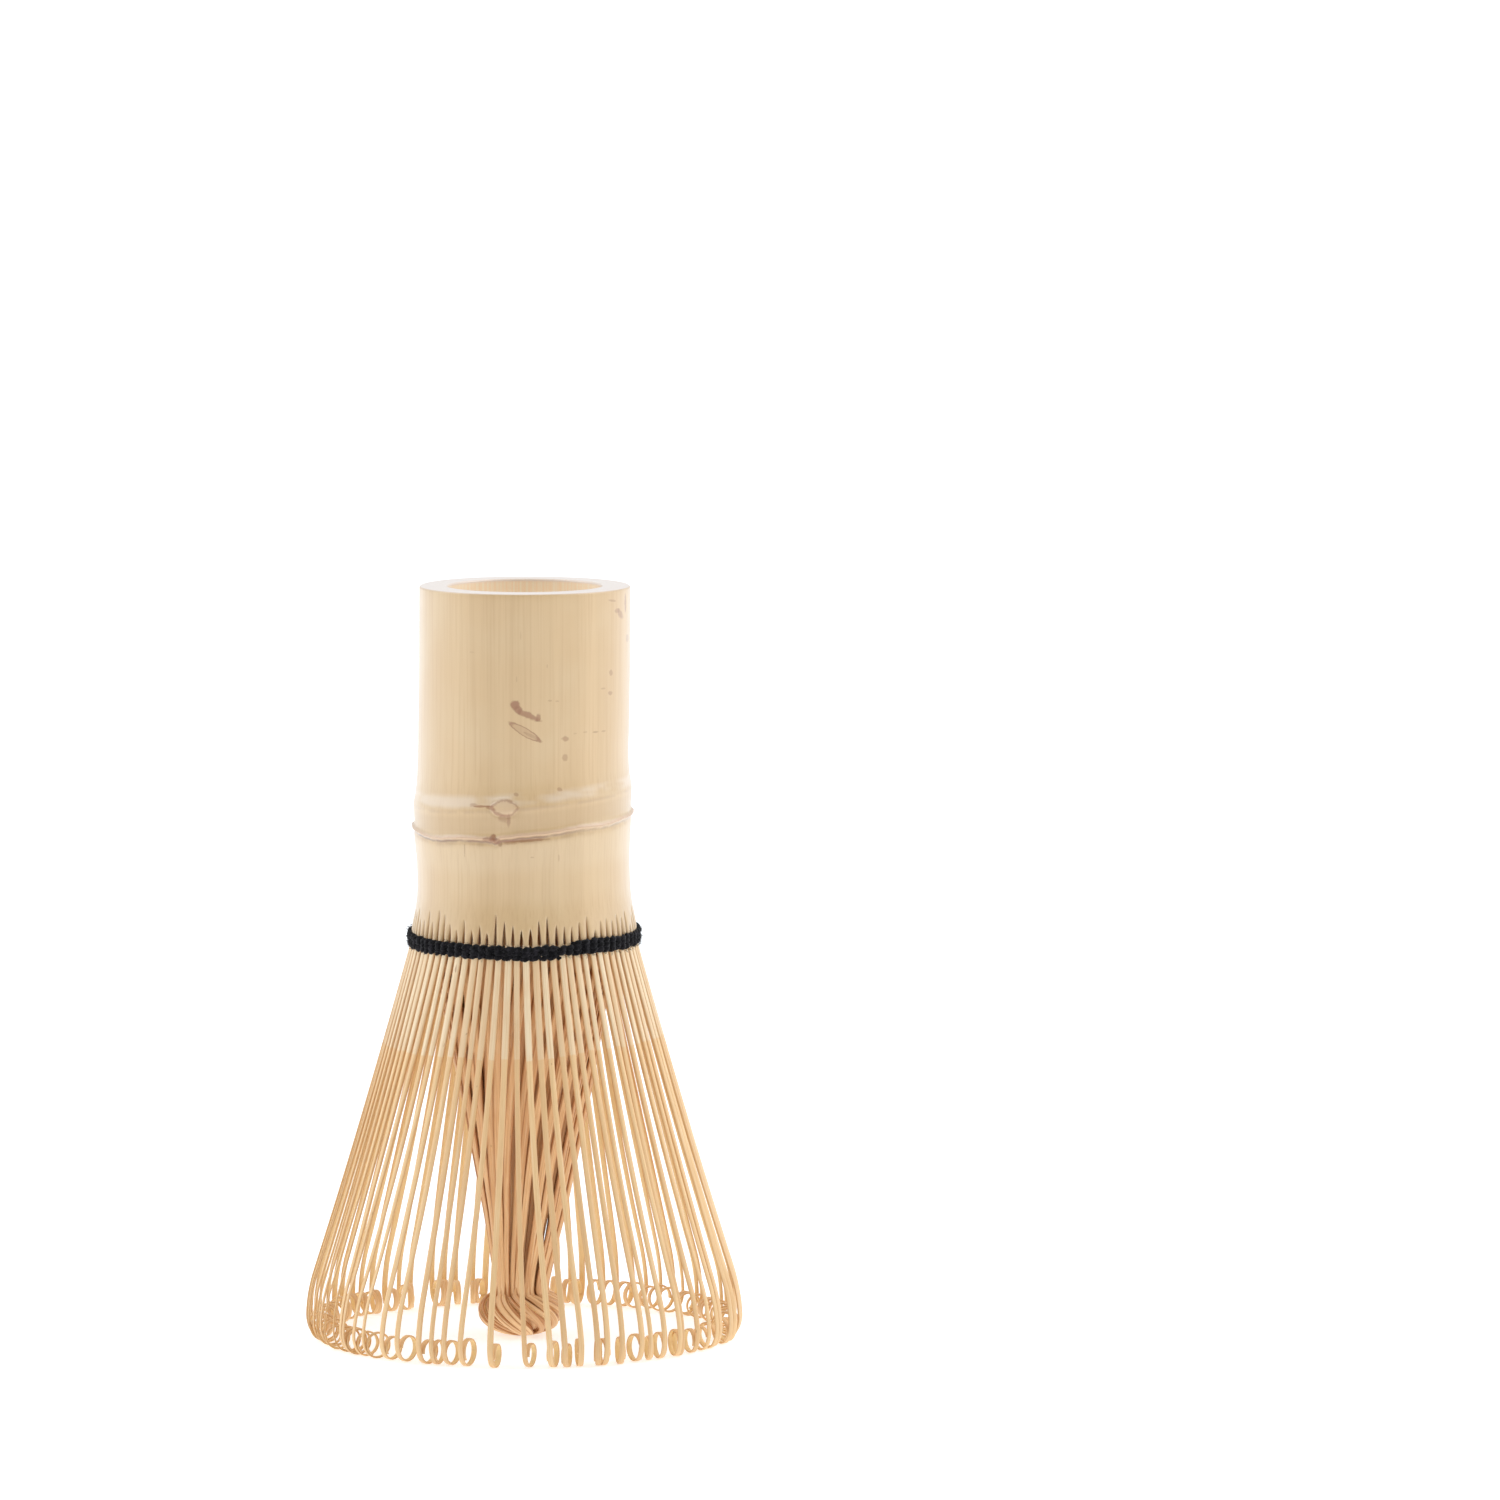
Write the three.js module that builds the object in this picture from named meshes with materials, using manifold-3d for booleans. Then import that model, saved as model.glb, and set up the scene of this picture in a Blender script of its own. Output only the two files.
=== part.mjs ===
// A bamboo tea whisk, in millimetres, +Z up. It stands on the curled tips of its outer tines, and the origin
// is on the floor under the axis of its handle. -Y is the front.
//
// The culm is cut from one length of bamboo with a joint in it. Below the joint its skirt is split into tines:
// every second one bends out into the round outer cage and ends in a curl, and the ones between are drawn in to
// a knot on the axis. A cotton thread, passed between the two sets just under the splits, holds them apart.

import * as THREE from "three";
import { mergeVertices } from "three/addons/utils/BufferGeometryUtils.js";
import Module from "manifold-3d";

const wasm = await Module();
wasm.setup();

const DEG = Math.PI / 180;
const FULL_TURN = 2 * Math.PI;

// ---- Driving dimensions ----------------------------------------------------------------------------------

const HEIGHT = 110;
const RIM_RADIUS = 15.3;
const BORE_RADIUS = 11;
const RIM_EDGE = 0.35; // the rim's edges are eased by this much
const JOINT_Z = 77.2; // middle of the bamboo's joint, where a wall closes the tube
const JOINT_WALL = 2.6;
const JOINT_TILT = 1.25; // how far the joint's two ridges rise from the left of the whisk to its axis
const SPLIT_Z = 62; // where the splits start, and the culm ends
const THREAD_Z = 58.4;
const CAGE_RADIUS = 31.95; // the outer cage at its widest
const GAP = 0.3; // between pieces that touch on the real whisk
const ROUND_SEGMENTS = 32;

const OUTER_TINES = 80;
const TINES_PER_PAIR = 2;
const PAIRS = OUTER_TINES / TINES_PER_PAIR;
const INNER_TINES = 80;
const INNER_GROUPS = 16; // the culm is first split in 16, and each sixteenth into its tines

// ---- Materials -------------------------------------------------------------------------------------------

function wood(colour) {
  return new THREE.MeshStandardMaterial({ color: colour, roughness: 0.55, metalness: 0 });
}

const culmBamboo = wood(0xe3cfa4);
const outerTineBamboo = wood(0xe9c893);
const innerTineBamboo = wood(0xc9935c);
const cotton = new THREE.MeshStandardMaterial({ color: 0x17181d, roughness: 0.95, metalness: 0 });

// ---- Solids ----------------------------------------------------------------------------------------------

// A geometry as a manifold-3d solid, for joining.
function toSolid(geometry) {
  const bare = geometry.clone();
  bare.deleteAttribute("normal");
  bare.deleteAttribute("uv");
  const merged = mergeVertices(bare, 1e-4);
  return new wasm.Manifold(
    new wasm.Mesh({
      numProp: 3,
      vertProperties: new Float32Array(merged.attributes.position.array),
      triVerts: new Uint32Array(merged.index.array),
    }),
  );
}

function toGeometry(solid) {
  const mesh = solid.getMesh();
  const geometry = new THREE.BufferGeometry();
  geometry.setAttribute("position", new THREE.BufferAttribute(mesh.vertProperties, 3));
  geometry.setIndex(new THREE.BufferAttribute(mesh.triVerts, 1));
  geometry.computeVertexNormals();
  return geometry;
}

function joined(geometries) {
  return toGeometry(geometries.map(toSolid).reduce((whole, piece) => whole.add(piece)));
}

// A round solid from its profile, [radius, height] going from the bottom up round the outside.
function turned(profile) {
  const points = profile.map(([r, z]) => new THREE.Vector2(r, z));
  return new THREE.LatheGeometry(points, ROUND_SEGMENTS).rotateX(Math.PI / 2);
}

// A flat strip bent along a path. station(i) gives, for i from 0 to steps, the strip's centre, its half width
// and half thickness as vectors, with across x through pointing along the path.
function bentStrip(steps, station) {
  const geometry = new THREE.BoxGeometry(2, 2, 1, 1, 1, steps);
  const place = geometry.attributes.position;
  const point = new THREE.Vector3();
  for (let i = 0; i < place.count; i++) {
    const { centre, across, through } = station(Math.round((place.getZ(i) + 0.5) * steps));
    point.copy(centre).addScaledVector(across, place.getX(i)).addScaledVector(through, place.getY(i));
    place.setXYZ(i, point.x, point.y, point.z);
  }
  return geometry;
}

// ---- Culm ------------------------------------------------------------------------------------------------

const WALL_FOOT = 13.5; // inner radius where the culm ends in the splits

function culm() {
  const profile = [
    [0, JOINT_Z - JOINT_WALL / 2],
    [BORE_RADIUS - 0.6, JOINT_Z - JOINT_WALL / 2],
    [BORE_RADIUS + 0.4, JOINT_Z - JOINT_WALL / 2 - 1.2],
    [WALL_FOOT, SPLIT_Z],
    [15.95, SPLIT_Z],
    [15.45, 66],
    [15.55, 71],
    [15.75, 73.8],
    [16.12, 75.2], // lower ridge: the scar of the sheath
    [15.74, 76.6],
    [15.88, 79], // upper ridge
    [15.5, 81.4],
    [15.32, 84],
    [RIM_RADIUS, HEIGHT - RIM_EDGE],
    [RIM_RADIUS - RIM_EDGE, HEIGHT],
    [BORE_RADIUS + RIM_EDGE, HEIGHT],
    [BORE_RADIUS, HEIGHT - RIM_EDGE],
    [BORE_RADIUS, JOINT_Z + JOINT_WALL / 2 + 1.2],
    [BORE_RADIUS - 1.2, JOINT_Z + JOINT_WALL / 2],
    [0, JOINT_Z + JOINT_WALL / 2],
  ];
  const geometry = turned(profile);
  // The joint lies at a slant: it is lifted towards +X, fading out above and below.
  const place = geometry.attributes.position;
  const fade = 13;
  for (let i = 0; i < place.count; i++) {
    const z = place.getZ(i);
    const share = THREE.MathUtils.smoothstep(fade - Math.abs(z - JOINT_Z), 0, fade);
    place.setZ(i, z + (JOINT_TILT * share * place.getX(i)) / RIM_RADIUS);
  }
  return geometry;
}

// ---- Thread ----------------------------------------------------------------------------------------------

const THREAD_OUT = { inner: 16.95, outer: 17.4 };
const THREAD_IN = { inner: 15.15, outer: 15.55 };
const THREAD_HALF_HEIGHT = 0.7;

function threadTurn({ inner, outer }) {
  const bottom = THREAD_Z - THREAD_HALF_HEIGHT;
  const top = THREAD_Z + THREAD_HALF_HEIGHT;
  return turned([[inner, bottom], [outer, bottom], [outer, top], [inner, top], [inner, bottom]]);
}

// ---- Outer tines -----------------------------------------------------------------------------------------

const TINE_WIDTH = 0.88;
const TINE_THICK = 0.5; // at the root
const TINE_TIP_THICK = 0.3; // from the start of the curl
const CAGE_SLOPE = 16.5 * DEG;
const EASE_RADIUS = 8; // the tine turns in gently over this radius, then curls
const EASE_END = -15 * DEG;
const CURL_RADIUS = 1.95;
const CURL_STEP = 60 * DEG; // one facet of the curl is flat on the floor
const CURL_STEPS = 4;

// The outer tine's centreline as [radius, height] and its heading, an angle from straight down, positive
// outwards. It runs from the root to the end of the curl.
function outerCentreline() {
  const curlZ = (CURL_RADIUS + TINE_TIP_THICK / 2) * Math.cos(CURL_STEP / 2);
  const widestZ = curlZ - (EASE_RADIUS - CURL_RADIUS) * Math.sin(EASE_END);
  const easeR = CAGE_RADIUS - TINE_TIP_THICK / 2 - EASE_RADIUS;
  const curlR = easeR + (EASE_RADIUS - CURL_RADIUS) * Math.cos(EASE_END);

  const onArc = (r, z, radius, heading) => ({
    r: r + radius * Math.cos(heading),
    z: z + radius * Math.sin(heading),
    heading,
  });
  const down = [
    { r: 15.75, z: SPLIT_Z - GAP, heading: 7 * DEG },
    { r: 16.2, z: THREAD_Z, heading: 11 * DEG },
    { r: 18.25, z: 51, heading: 15.5 * DEG },
    { r: 23.6, z: 33.2, heading: 17 * DEG },
    onArc(easeR, widestZ, EASE_RADIUS, CAGE_SLOPE),
    onArc(easeR, widestZ, EASE_RADIUS, 0),
  ];
  const curl = [];
  for (let i = 0; i <= CURL_STEPS; i++) {
    curl.push(onArc(curlR, curlZ, CURL_RADIUS, -90 * DEG + (0.5 - i) * CURL_STEP));
  }
  return { down, curl };
}

function outerTine() {
  const { down, curl } = outerCentreline();
  const stations = [...down, ...curl];
  const across = new THREE.Vector3(0, TINE_WIDTH / 2, 0);
  return bentStrip(stations.length - 1, (i) => {
    const { r, z, heading } = stations[i];
    const thick = THREE.MathUtils.lerp(TINE_THICK, TINE_TIP_THICK, Math.min(1, i / down.length));
    const through = new THREE.Vector3(Math.cos(heading), 0, Math.sin(heading)).multiplyScalar(thick / 2);
    return { centre: new THREE.Vector3(r, 0, z), across, through };
  });
}

// Two tines, joined at the root by the bamboo between the ends of their splits.
function outerPair() {
  const tineTurn = FULL_TURN / OUTER_TINES;
  const root = { height: 1.2, radius: 15.8, thick: 0.36 };
  const bridge = new THREE.BoxGeometry(root.thick, 2 * root.radius * Math.sin(tineTurn / 2), root.height);
  bridge.translate(root.radius, 0, SPLIT_Z - 2 * GAP - root.height / 2);
  return joined([
    outerTine().rotateZ(-tineTurn / 2),
    outerTine().rotateZ(tineTurn / 2),
    bridge,
  ]);
}

// ---- Inner tines -----------------------------------------------------------------------------------------

const INNER_TOP = { r: 14.55, z: 61, turn: 0 };
const INNER_NECK = { r: 3.45, z: 7, turn: -40 * DEG }; // they wind round the axis on the way to the knot
const INNER_THICK = 0.4;
const TINES_PER_GROUP = INNER_TINES / INNER_GROUPS;
const TOP_PITCH = (INNER_TOP.r * FULL_TURN) / INNER_TINES;
const NECK_PITCH = 0.21;
const BUNDLE_SHARE = 0.74; // below this share of the way down, the tines lie side by side
const SLOTS = [
  { start: 0.018, end: 0.72 },
  { start: 0.024, end: 0.76 },
]; // the slots between the tines, in turn, as shares of the way down

// A group of tines is a sheet with tapering slots, drawn flat with one tine's pitch as its unit across and the
// whole way from root to neck as its unit along, then wrapped onto the cone that the tines form.
function innerGroup() {
  const { lerp } = THREE.MathUtils;
  const tineHalf = 0.22;
  const rootHalf = (TINES_PER_GROUP - 1) / 2 + tineHalf;
  const bundleHalf = TINES_PER_GROUP / 2 - 0.05;
  const sheet = new THREE.Shape();
  sheet.moveTo(-rootHalf, 0);
  sheet.lineTo(rootHalf, 0);
  sheet.lineTo(bundleHalf, BUNDLE_SHARE);
  sheet.lineTo(bundleHalf, 1);
  sheet.lineTo(-bundleHalf, 1);
  sheet.lineTo(-bundleHalf, BUNDLE_SHARE);
  for (let i = 1; i < TINES_PER_GROUP; i++) {
    const x = i - TINES_PER_GROUP / 2;
    const { start, end } = SLOTS[i % 2];
    const slot = new THREE.Path();
    slot.moveTo(x - 0.5 + tineHalf, start);
    slot.lineTo(x + 0.5 - tineHalf, start);
    slot.lineTo(x, end);
    sheet.holes.push(slot);
  }

  const geometry = new THREE.ExtrudeGeometry(sheet, { depth: INNER_THICK, bevelEnabled: false, steps: 1 });
  const place = geometry.attributes.position;
  for (let i = 0; i < place.count; i++) {
    const share = place.getY(i);
    const middleR = lerp(INNER_TOP.r, INNER_NECK.r, share);
    const across = place.getX(i) * lerp(TOP_PITCH, NECK_PITCH, share);
    const turn = lerp(INNER_TOP.turn, INNER_NECK.turn, share) + across / middleR;
    const r = middleR + INNER_THICK / 2 - place.getZ(i);
    place.setXYZ(i, r * Math.cos(turn), r * Math.sin(turn), lerp(INNER_TOP.z, INNER_NECK.z, share));
  }
  return geometry;
}

// The ends of the inner tines, wound into a flattened ball.
function knot() {
  const profile = [
    [0, 0.3],
    [2.4, 0.45],
    [4.5, 1.3],
    [5.75, 2.8],
    [6, 4],
    [5.4, 5.5],
    [4.3, 6.4],
    [3.2, 6.7],
    [0, 6.7],
  ];
  return turned(profile);
}

// ---- Assembly --------------------------------------------------------------------------------------------

const whisk = new THREE.Group();

function add(name, geometry, material, turn = 0) {
  const mesh = new THREE.Mesh(geometry, material);
  mesh.name = name;
  mesh.rotation.z = turn;
  whisk.add(mesh);
}

const numbered = (name, i) => `${name}_${String(i + 1).padStart(2, "0")}`;

add("culm_handle", culm(), culmBamboo);
add("thread_outer_turn", threadTurn(THREAD_OUT), cotton);
add("thread_inner_turn", threadTurn(THREAD_IN), cotton);

const pair = outerPair();
for (let i = 0; i < PAIRS; i++) {
  add(numbered("outer_tines", i), pair, outerTineBamboo, ((i + 0.5) * FULL_TURN) / PAIRS);
}

const group = innerGroup();
for (let i = 0; i < INNER_GROUPS; i++) {
  add(numbered("inner_tines", i), group, innerTineBamboo, (i * FULL_TURN) / INNER_GROUPS);
}
add("inner_tine_knot", knot(), innerTineBamboo);

export default whisk;
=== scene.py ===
"""A bamboo tea whisk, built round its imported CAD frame.

The culm's handle, the outer and inner tines split from it, the knot and the binding thread each get
a fine mesh. Shapes are worked out in millimetres, heights are above the floor and -Y is the front.
Meshes are in metres.
"""

import math
import random

import bmesh
import bpy
import numpy as np
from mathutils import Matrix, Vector, noise


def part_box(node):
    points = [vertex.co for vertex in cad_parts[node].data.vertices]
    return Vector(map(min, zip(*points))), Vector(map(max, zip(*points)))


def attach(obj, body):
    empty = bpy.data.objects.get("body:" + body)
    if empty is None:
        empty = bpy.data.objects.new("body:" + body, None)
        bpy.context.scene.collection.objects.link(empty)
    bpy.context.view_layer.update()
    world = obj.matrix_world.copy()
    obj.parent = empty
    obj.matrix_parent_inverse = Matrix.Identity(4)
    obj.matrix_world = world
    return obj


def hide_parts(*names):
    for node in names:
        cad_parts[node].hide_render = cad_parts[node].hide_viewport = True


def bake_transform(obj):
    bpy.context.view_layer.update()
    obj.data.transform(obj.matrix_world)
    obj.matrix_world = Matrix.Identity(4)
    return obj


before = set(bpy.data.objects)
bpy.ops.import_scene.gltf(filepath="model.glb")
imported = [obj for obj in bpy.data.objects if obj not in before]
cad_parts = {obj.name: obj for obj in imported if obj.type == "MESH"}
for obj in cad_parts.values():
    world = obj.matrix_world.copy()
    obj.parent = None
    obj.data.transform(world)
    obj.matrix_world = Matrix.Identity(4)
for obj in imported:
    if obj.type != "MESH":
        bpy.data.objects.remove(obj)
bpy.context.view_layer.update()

MM = 0.001
FULL_TURN = 2 * math.pi


def box_mm(node):
    """A CAD node's lowest and highest corners, in millimetres."""
    low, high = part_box(node)
    return low / MM, high / MM


# ---- Dimensions taken from the frame -----------------------------------------

thread_low, thread_high = box_mm("thread_outer_turn")
tine_nodes = sorted(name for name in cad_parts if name.startswith("outer_tines"))
inner_nodes = sorted(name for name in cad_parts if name.startswith("inner_tines"))

RIM_Z = box_mm("culm_handle")[1].z
THREAD_Z = (thread_low.z + thread_high.z) / 2
CAGE_RADIUS = max(box_mm(node)[1].x for node in tine_nodes)
TINES_PER_NODE = 2
OUTER_TINES = TINES_PER_NODE * len(tine_nodes)
INNER_PER_NODE = 5
INNER_TINES = INNER_PER_NODE * len(inner_nodes)

# ---- Small tools -------------------------------------------------------------


def smooth(x):
    """0 below 0, 1 above 1, and an even bend between."""
    x = np.clip(x, 0, 1)
    return x * x * (3 - 2 * x)


def bump(x, middle, width):
    """1 at the middle, dying away on both sides of it."""
    return np.exp(-(((x - middle) / width) ** 2))


def curve_through(points, x):
    """A smooth curve through points of rising x, read at x."""
    xs, ys = np.array(points, float).T
    slopes = np.gradient(ys, xs)
    x = np.clip(x, xs[0], xs[-1])
    i = np.clip(np.searchsorted(xs, x) - 1, 0, len(xs) - 2)
    step = xs[i + 1] - xs[i]
    t = (x - xs[i]) / step
    start = (1 + 2 * t) * (1 - t) ** 2 * ys[i] + t * (1 - t) ** 2 * step * slopes[i]
    end = t * t * (3 - 2 * t) * ys[i + 1] + t * t * (t - 1) * step * slopes[i + 1]
    return start + end


def radial(angle):
    """Unit vectors outwards and to the left of them, at angles round the axis."""
    c, s, zero = np.cos(angle), np.sin(angle), np.zeros_like(angle)
    return np.stack([c, s, zero], -1), np.stack([-s, c, zero], -1)


def make_mesh(name, vertices, faces, material, attributes=None):
    """A smooth-shaded object from vertices in millimetres.

    attributes are vectors or numbers, one for each vertex.
    """
    mesh = bpy.data.meshes.new(name)
    mesh.from_pydata((np.asarray(vertices) * MM).tolist(), [], faces)
    for key, values in (attributes or {}).items():
        values = np.asarray(values, np.float32)
        if values.ndim == 2:
            mesh.attributes.new(key, "FLOAT_VECTOR", "POINT").data.foreach_set("vector", values.ravel())
        else:
            mesh.attributes.new(key, "FLOAT", "POINT").data.foreach_set("value", values)
    mesh.shade_smooth()
    mesh.materials.append(material)
    piece = bpy.data.objects.new(name, mesh)
    bpy.context.scene.collection.objects.link(piece)
    return piece


def tidy_mesh(piece, merge_distance=1e-7):
    """Joins vertices that lie in one place and turns every face outwards."""
    work = bmesh.new()
    work.from_mesh(piece.data)
    bmesh.ops.remove_doubles(work, verts=work.verts, dist=merge_distance)
    bmesh.ops.dissolve_degenerate(work, edges=work.edges, dist=merge_distance)
    bmesh.ops.recalc_face_normals(work, faces=work.faces)
    work.to_mesh(piece.data)
    work.free()
    piece.data.shade_smooth()


# A strip's section, as shares of its half width and half thickness: a flat strip with eased corners.
STRIP_SECTION = np.array(
    [[-1, -0.5], [-0.8, -1], [0.8, -1], [1, -0.5], [1, 0.55], [0.8, 1], [0, 1.12], [-0.8, 1], [-1, 0.55]]
)


def sweep(path, sideways, half_width, half_thick, section=STRIP_SECTION):
    """The vertices and faces of a section carried along a path.

    sideways points along the strip's width, at each point of the path or all along it.
    """
    count, sides = len(path), len(section)
    along = np.gradient(path, axis=0)
    along /= np.linalg.norm(along, axis=1, keepdims=True)
    across = sideways - along * np.sum(sideways * along, axis=1, keepdims=True)
    across /= np.linalg.norm(across, axis=1, keepdims=True)
    out = np.cross(along, across)
    x = section[None, :, 0, None] * np.broadcast_to(half_width, count)[:, None, None]
    y = section[None, :, 1, None] * np.broadcast_to(half_thick, count)[:, None, None]
    vertices = (path[:, None] + across[:, None] * x + out[:, None] * y).reshape(-1, 3)
    faces = []
    for ring in range(count - 1):
        for side in range(sides):
            a, b = ring * sides + side, ring * sides + (side + 1) % sides
            faces.append((a, b, b + sides, a + sides))
    faces.append(tuple(reversed(range(sides))))
    faces.append(tuple(range((count - 1) * sides, count * sides)))
    return vertices, faces


class Strands:
    """Several swept strips gathered into one mesh."""

    def __init__(self):
        self.vertices, self.faces, self.fibre, self.tone = [], [], [], []
        self.count = 0

    def add(
        self, path, sideways, half_width, half_thick, tone=0.0, rest_height=None, section=STRIP_SECTION
    ):
        """Adds a strip, with its fibre attribute for each vertex: its place across, through and along it.

        Across and along are in millimetres, and through is a share of the half thickness.
        """
        vertices, faces = sweep(path, sideways, half_width, half_thick, section)
        rings, sides = len(path), len(section)
        along = path[:, 2] if rest_height is None else rest_height
        across = section[None, :, 0] * np.broadcast_to(half_width, rings)[:, None]
        through = np.broadcast_to(section[None, :, 1], (rings, sides))
        length = np.broadcast_to(along[:, None], (rings, sides))
        self.fibre.append(np.stack([across, through, length], -1).reshape(-1, 3))
        self.tone.append(np.full(len(vertices), tone))
        self.vertices.append(vertices)
        self.faces += [tuple(i + self.count for i in face) for face in faces]
        self.count += len(vertices)

    def build(self, name, material):
        attributes = {"fibre": np.concatenate(self.fibre), "tone": np.concatenate(self.tone)}
        return make_mesh(name, np.concatenate(self.vertices), self.faces, material, attributes)


# ---- Material tools ----------------------------------------------------------


NOISE_ROUGHNESS = 0.55
# A Mix node's sockets for colours. They share their names with its other sockets, so they go by number.
MIX_COLOUR_A = 6
MIX_COLOUR_B = 7
MIX_COLOUR_OUT = 2


class Shader:
    """A material's nodes, made one line at a time."""

    def __init__(self, name):
        self.material = bpy.data.materials.new(name)
        self.material.use_nodes = True
        self.tree = self.material.node_tree
        self.surface = self.tree.nodes["Principled BSDF"]

    def node(self, kind, inputs=None, **settings):
        made = self.tree.nodes.new(kind)
        for key, value in settings.items():
            setattr(made, key, value)
        for key, value in (inputs or {}).items():
            self.put(made.inputs[key], value)
        return made

    def put(self, socket, value):
        if isinstance(value, bpy.types.NodeSocket):
            self.tree.links.new(value, socket)
        else:
            socket.default_value = value

    def set(self, **values):
        """Sets the surface's own sockets, each named with _ for a space."""
        for key, value in values.items():
            self.put(self.surface.inputs[key.replace("_", " ")], value)

    def attribute(self, name, output="Vector"):
        return self.node("ShaderNodeAttribute", attribute_name=name).outputs[output]

    def object_place(self):
        return self.node("ShaderNodeTexCoord").outputs["Object"]

    def stretched(self, vector, scale):
        return self.node("ShaderNodeMapping", {"Vector": vector, "Scale": scale}).outputs["Vector"]

    def noise(self, vector, scale, detail):
        inputs = {"Vector": vector, "Scale": scale, "Detail": detail, "Roughness": NOISE_ROUGHNESS}
        return self.node("ShaderNodeTexNoise", inputs).outputs["Fac"]

    def range(self, value, low, high, to_low=0.0, to_high=1.0):
        """An even bend from to_low, where the value is low, to to_high, where it is high."""
        inputs = {"Value": value, "From Min": low, "From Max": high, "To Min": to_low, "To Max": to_high}
        return self.node("ShaderNodeMapRange", inputs, interpolation_type="SMOOTHSTEP").outputs["Result"]

    def math(self, operation, a, b=0.0, third=0.0):
        return self.node("ShaderNodeMath", {0: a, 1: b, 2: third}, operation=operation).outputs[0]

    def band(self, value, low, high, soft):
        """1 between low and high, 0 outside them."""
        rise = self.range(value, low - soft, low + soft)
        return self.math("MULTIPLY", rise, self.range(value, high + soft, high - soft))

    def mix(self, factor, a, b):
        """A colour between a, where the factor is 0, and b, where it is 1."""
        made = self.node("ShaderNodeMix", data_type="RGBA", blend_type="MIX")
        self.put(made.inputs["Factor"], factor)
        self.put(made.inputs[MIX_COLOUR_A], a)
        self.put(made.inputs[MIX_COLOUR_B], b)
        return made.outputs[MIX_COLOUR_OUT]

    def split(self, vector):
        made = self.node("ShaderNodeSeparateXYZ", {"Vector": vector})
        return made.outputs["X"], made.outputs["Y"], made.outputs["Z"]

    def bump(self, height, distance, strength=1.0, under=None):
        inputs = {"Height": height, "Distance": distance, "Strength": strength}
        if under is not None:
            inputs["Normal"] = under
        return self.node("ShaderNodeBump", inputs).outputs["Normal"]


def shade(red, green, blue):
    """A colour given as it looks on screen, from 0 to 255, as the shaders want it."""
    shares = (red / 255, green / 255, blue / 255)
    linear = [((c + 0.055) / 1.055) ** 2.4 if c > 0.04 else c / 12.92 for c in shares]
    return (*linear, 1.0)


# ---- Camera, light and floor -------------------------------------------------

CAMERA_PLACE = (0.0329, -1.476, 0.239)
CAMERA_PITCH = 5.92
LENS = 245
SENSOR = 36

# The studio's walls: dim and warm behind the camera, bright and a little cool at the sides and the back.
FRONT_WALL = [0.1, 0.09, 0.074, 1]
BACK_WALL = [0.8624, 0.88, 0.9064, 1]
# How far back the walls reach their full brightness, from -1 behind the camera to 1 behind the whisk.
BRIGHT_FROM = 0.1
# How much brighter the studio grows towards its ceiling.
CEILING_SHARE = 0.3
# Each softbox: where its light comes from, its strength and its colour.
SOFTBOXES = {
    "left_softbox": ((-1, 0.1, 0.75), 0.73, (0.96, 1.02, 1.12)),
    "right_softbox": ((1, 0.05, 0.8), 0.95, (0.98, 1.01, 1.07)),
}
SOFTBOX_SPREAD = 50
# The floor reaches this far each way, in metres.
FLOOR_HALF = 60.0
FLOOR_GLOW = 0.5


def make_camera():
    data = bpy.data.cameras.new("camera")
    data.lens = LENS
    data.sensor_width = SENSOR
    camera = bpy.data.objects.new("camera", data)
    camera.location = CAMERA_PLACE
    camera.rotation_euler = (math.radians(90 - CAMERA_PITCH), 0, 0)
    bpy.context.scene.collection.objects.link(camera)
    bpy.context.scene.camera = camera


def soft_light(name, source, strength, colour):
    """Even light from far off, soft because it comes from a wide part of the sky."""
    data = bpy.data.lights.new(name, "SUN")
    data.energy = strength
    data.color = colour
    data.angle = math.radians(SOFTBOX_SPREAD)
    light = bpy.data.objects.new(name, data)
    light.rotation_euler = Vector(source).to_track_quat("Z", "Y").to_euler()
    bpy.context.scene.collection.objects.link(light)


def make_studio():
    """A white studio whose front side, where the camera stands, is darker than its sides and back."""
    scene = bpy.context.scene
    scene.view_settings.view_transform = "Standard"
    scene.view_settings.look = "None"
    world = bpy.data.worlds.new("studio")
    world.use_nodes = True
    tree = world.node_tree
    direction = tree.nodes.new("ShaderNodeTexCoord")
    split = tree.nodes.new("ShaderNodeSeparateXYZ")
    share = tree.nodes.new("ShaderNodeMapRange")
    raised = tree.nodes.new("ShaderNodeMath")
    raised.operation = "MULTIPLY_ADD"
    raised.inputs[1].default_value = CEILING_SHARE
    tree.links.new(direction.outputs["Generated"], split.inputs[0])
    tree.links.new(split.outputs["Z"], raised.inputs[0])
    tree.links.new(split.outputs["Y"], raised.inputs[2])
    tree.links.new(raised.outputs[0], share.inputs["Value"])
    share.inputs["From Min"].default_value = -1.0
    share.inputs["From Max"].default_value = BRIGHT_FROM
    walls = tree.nodes.new("ShaderNodeMix")
    walls.data_type = "RGBA"
    tree.links.new(share.outputs["Result"], walls.inputs["Factor"])
    walls.inputs[MIX_COLOUR_A].default_value = FRONT_WALL
    walls.inputs[MIX_COLOUR_B].default_value = BACK_WALL
    tree.links.new(walls.outputs[MIX_COLOUR_OUT], tree.nodes["Background"].inputs["Color"])
    scene.world = world

    for name, (source, strength, colour) in SOFTBOXES.items():
        soft_light(name, source, strength, colour)


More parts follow.
